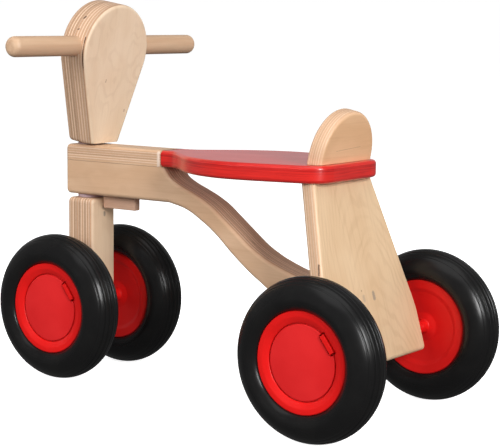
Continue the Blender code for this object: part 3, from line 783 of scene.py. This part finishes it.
def make_bushes():
    """Flanged nylon bushes above and below the spine's steering bore."""
    flange = 0.0138
    for name, way, seat_z in (("steering_bush_upper", 1, DECK_Z + GAP),
                              ("steering_bush_lower", -1, SPINE_FRONT_LOW_Z - GAP)):
        low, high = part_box(name)
        outer = high.z if way > 0 else low.z
        thick = abs(outer - seat_z)
        deep = (high.z - low.z) - thick
        profile = rounded([(flange, thick), (flange, 0), (SLEEVE_R, 0), (SLEEVE_R, -deep), (BORE_R, -deep),
                           (BORE_R, thick)], 0.0004, 3)
        tip_over = (0 if way > 0 else pi, 0, 0)
        piece = turned(name + "_ring", profile, nylon(name), (0, STEER_Y, seat_z), tip_over, 64)
        put(piece, "frame", "nylon", name)


# --------------------------------------------------------------------- wheels
GROOVE_PITCH = 0.0047
GROOVE_DEPTH = 0.0013
GROOVE_HALF = 0.0009
GROOVES = 2                        # on each side of the middle one
LINE_S = 0.0142                    # shallow line at the edge of the tread
LINE_DEPTH = 0.00035


def notch(off, half, depth):
    return depth * max(0.0, 1 - (off / half) ** 2) ** 1.5


def tyre_radius(s):
    """Round crown with narrow grooves and a shallow line at each edge of the tread."""
    crown = WHEEL_R - 0.00005      # just inside the CAD tyre
    r = WAIST_R + (crown - WAIST_R) * max(0.0, 1 - (s / TYRE_HALF) ** 2) ** 0.65
    near = max(-GROOVES, min(GROOVES, round(s / GROOVE_PITCH)))
    r -= notch(s - near * GROOVE_PITCH, GROOVE_HALF, GROOVE_DEPTH)
    return r - notch(abs(s) - LINE_S, GROOVE_HALF, LINE_DEPTH)


def tyre_profile():
    steps = 190
    outer = [(tyre_radius(TYRE_HALF * cos(pi * i / steps)), TYRE_HALF * cos(pi * i / steps))
             for i in range(steps + 1)]
    bead = HUB_R + GAP
    wall = []
    for i in range(1, 13):
        down = (WAIST_R - bead) * i / 12
        wall.append((WAIST_R - down, TYRE_HALF * (1 - (down / WALL_R) ** 2) ** 0.5))
    lip = HUB_HALF - 0.0033
    wall += [(bead, lip), (CHANNEL_R + GAP, lip)]
    return outer + [(r, -s) for r, s in wall] + list(reversed(wall))


def hub_profile():
    """Rim and cap seat on the outer side; flat rim, shallow dish and slim boss inside."""
    lip = HUB_HALF - 0.0033 + GAP
    inner = [(HUB_R, -lip), (HUB_R, -HUB_HALF + 0.0008), (HUB_R - 0.0010, -HUB_HALF + 0.0001),
             (0.0385, -HUB_HALF + 0.0014), (0.0350, -HUB_HALF + 0.0030),
             (0.0140, -0.0096), (BOSS_R + 0.0005, -0.0112),
             (BOSS_R, -0.0150), (BOSS_R, -BOSS_END), (BORE_R, -BOSS_END)]
    outer = [(BORE_R, -0.0010), (0.0325, -0.0040), (CAP_R, -0.0040), (CAP_R, HUB_HALF - 0.0028),
             (CAP_R + 0.0018, HUB_HALF - 0.0018), (0.0416, HUB_HALF - 0.0001), (HUB_R - 0.0009, HUB_HALF),
             (HUB_R, HUB_HALF - 0.0010), (HUB_R, lip)]
    return rounded(outer + [(CHANNEL_R, lip), (CHANNEL_R, -lip)] + inner, 0.0012, 4)


def cap_profile():
    """Slightly domed snap-in disc with a rounded rim and a skirt."""
    r = CAP_R - 0.0011
    top = HUB_HALF - 0.0026
    rim = arc(r - 0.0008, top - 0.0008, 0.0008, 0, pi / 2, 5)
    dome = [((r - 0.0008) * (1 - k / 10), top + 0.0014 * (1 - (1 - k / 10) ** 2)) for k in range(1, 11)]
    under = [(0.0, top - 0.0018), (r - 0.0024, top - 0.0026), (r - 0.0024, -0.0034)]
    shoulder = [(r + 0.0008, -0.0034), (r + 0.0008, top - 0.0018), (r, top - 0.0022)]
    return shoulder + rim + dome + under


TAB_ANGLE = radians(37)            # above the rearward horizontal
TAB_LONG = 0.0186
TAB_WIDE = 0.0046
TAB_AT_R = 0.0336
TAB_TOP = HUB_HALF - 0.0006


def tab_bar(name, grow, low, high, mat):
    """Rounded bar across the cap's groove, its long side along the rim."""
    outline = rounded(rectangle(TAB_WIDE / 2 + grow, TAB_LONG / 2 + grow), 0.0007, 3)
    at = ((TAB_AT_R, 0, (low + high) / 2), (0, 0, 0))
    return plate(name, outline, high - low, mat, at, 0.0005 if grow == 0 else 0.0001, 3)


def make_wheel(where, side):
    tag = where + "_" + side
    way = 1 if side == "left" else -1
    body = "wheel_" + tag
    axle = centre("tyre_" + tag)
    turn = (0, way * pi / 2, 0)
    tyre = turned("tyre_rubber_" + tag, tyre_profile(), rubber("rubber_" + tag), axle, turn, 144)
    put(tyre, body, "tyre", "tyre_" + tag)
    red = moulded("red_hub_" + tag, (0.790, 0.011, 0.010), (0.730, 0.009, 0.008), 0.34, 0.44, 0.25)
    # The cap's red is lighter in green and blue than the hub's: a painted sheen.
    cap_red_and_sheen = moulded("red_cap_sheen_" + tag, (0.780, 0.023, 0.024), (0.720, 0.017, 0.018), 0.30, 0.40,
                      0.30)
    hub = applied(turned("hub_plastic_" + tag, hub_profile(), red, axle, turn, 120))
    cap = applied(turned("cap_plastic_" + tag, cap_profile(), cap_red_and_sheen, axle, turn, 120))
    spin = Matrix.Rotation(pi / 2 + way * TAB_ANGLE, 4, "Z")
    pocket = tab_bar("tab_pocket_" + tag, 0.0016, HUB_HALF - 0.0055, HUB_HALF + 0.0040, red)
    tab = tab_bar("cap_tab_" + tag, 0.0, HUB_HALF - 0.0050, TAB_TOP, red)
    for piece in (pocket, tab):
        piece.data.transform(spin)
        piece.location = axle
        piece.rotation_euler = turn
    carved(hub, pocket)
    carved(cap, pocket)
    bpy.data.objects.remove(pocket, do_unlink=True)
    put(hub, body, "red_plastic", "hub_" + tag)
    put(cap, body, "red_plastic", "cap_" + tag)
    put(tab, body, "red_plastic")


def make_spacers():
    for where, holder, slot in (("front", "fork", "nylon"), ("rear", "frame", "red_plastic")):
        for side in ("left", "right"):
            name = "spacer_" + where + "_" + side
            low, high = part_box(name)
            half = (high.x - low.x) / 2
            ring = [(SPACER_R, half), (SPACER_R, -half), (BORE_R, -half), (BORE_R, half)]
            profile = rounded(ring, 0.0005, 3)
            if slot == "nylon":
                mat = nylon(name)
            else:
                mat = moulded(name + "_red", (0.800, 0.009, 0.009), (0.740, 0.007, 0.007), 0.34, 0.44,
                              0.25)
            piece = turned(name + "_collar", profile, mat, centre(name), (0, pi / 2, 0), 48)
            put(piece, holder, slot, name)


def finish_fittings():
    """Better materials for the CAD nodes that stay: pins, dowels and steel."""
    for name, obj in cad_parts.items():
        if obj.hide_render:
            continue
        if "dowel" in name or "pin_" in name:
            mat = solid_wood(name + "_wood", (0.470, 0.370, 0.280), (0.360, 0.270, 0.200), 4.4,
                             turn=(0, 0, 0), lines=0.5)
        else:
            mat = steel(name + "_steel", (0.620, 0.620, 0.630))
        for holder in obj.material_slots:
            holder.material = mat


# ------------------------------------------------------- floor, light and camera
def floor_white():
    mat, tree, shader = new_material("floor_white")
    grain = noise(tree, local(tree), (3.0, 3.0, 3.0), 2.0)
    paint = blend(tree, grain, (0.93, 0.93, 0.93), (0.95, 0.95, 0.95))
    tree.links.new(paint, shader.inputs["Base Color"])
    shader.inputs["Roughness"].default_value = 0.9
    shader.inputs["Specular IOR Level"].default_value = 0.0
    shader.inputs["Emission Color"].default_value = WHITE
    shader.inputs["Emission Strength"].default_value = 0.90
    return mat


def surround_white():
    mat, tree, shader = new_material("surround_white")
    shader.inputs["Base Color"].default_value = (0.0, 0.0, 0.0, 1.0)
    shader.inputs["Emission Color"].default_value = WHITE
    shader.inputs["Emission Strength"].default_value = 1.0
    return mat


def make_floor():
    """Pale floor and a white surround; neither adds light to the bike."""
    bm = bmesh.new()
    bmesh.ops.create_grid(bm, x_segments=8, y_segments=8, size=12.0)
    floor = made("floor", bm, floor_white())
    bm = bmesh.new()
    bmesh.ops.create_icosphere(bm, subdivisions=4, radius=11.0)
    dome = made("surround", bm, surround_white())
    for obj in (floor, dome):
        obj.visible_diffuse = False
        obj.visible_glossy = False
    dome.visible_shadow = False


LIGHTS_AIM = Vector((0, 0, 0.18))


def softbox(name, place, size, power):
    light = bpy.data.lights.new(name, "AREA")
    light.shape = "RECTANGLE"
    light.size, light.size_y = size
    light.energy = power
    obj = link(bpy.data.objects.new(name, light))
    obj.location = place
    obj.rotation_euler = (LIGHTS_AIM - Vector(place)).to_track_quat("-Z", "Y").to_euler()
    return obj


def make_light():
    world = bpy.data.worlds.new("studio")
    bpy.context.scene.world = world
    world.use_nodes = True
    back = world.node_tree.nodes["Background"]
    back.inputs["Color"].default_value = WHITE
    back.inputs["Strength"].default_value = 0.13
    softbox("overhead", (0.5, 0.3, 1.9), (1.6, 1.6), 9.5)
    softbox("rear_side", (0.9, 2.0, 1.0), (0.5, 0.9), 42.0)
    fills = [softbox("left_fill", (2.2, -0.4, 1.1), (1.4, 1.2), 33.0),
             softbox("right_fill", (-2.0, 0.9, 0.8), (1.4, 1.2), 15.0),
             softbox("front_fill", (0.3, -2.2, 0.9), (1.4, 1.2), 14.0)]
    for fill in fills:
        fill.visible_glossy = False
    glow = softbox("backdrop_glow", (-2.0, -1.45, 0.7), (3.2, 1.3), 4.7)
    glow.visible_diffuse = False


def make_camera():
    """Behind the rider's left shoulder, a little above the seat."""
    azimuth = radians(125.8176)
    elevation = radians(7.516)
    roll = radians(0.6196)
    distance = 1.63085
    target = Vector((-0.04441, 0.0, 0.16926))
    back = Vector((sin(azimuth) * cos(elevation), -cos(azimuth) * cos(elevation), sin(elevation)))
    right = Vector((0, 0, 1)).cross(back).normalized()
    up = back.cross(right)
    turned_right = cos(roll) * right + sin(roll) * up
    turned_up = -sin(roll) * right + cos(roll) * up
    camera = bpy.data.cameras.new("camera")
    camera.lens = 114.54
    camera.sensor_width = 36.0
    obj = link(bpy.data.objects.new("camera", camera))
    axes = Matrix((turned_right, turned_up, back)).transposed().to_4x4()
    obj.matrix_world = Matrix.Translation(target + distance * back) @ axes
    bpy.context.scene.camera = obj


make_spine()
make_top_strip()
make_seat()
make_rear_board()
make_backrest()
make_stop_block()
make_head()
make_post()
make_handlebar()
make_bushes()
for wheel_row in ("front", "rear"):
    for wheel_side in ("left", "right"):
        make_wheel(wheel_row, wheel_side)
make_spacers()
finish_fittings()
make_floor()
make_light()
make_camera()
bpy.context.scene.view_settings.view_transform = "Standard"
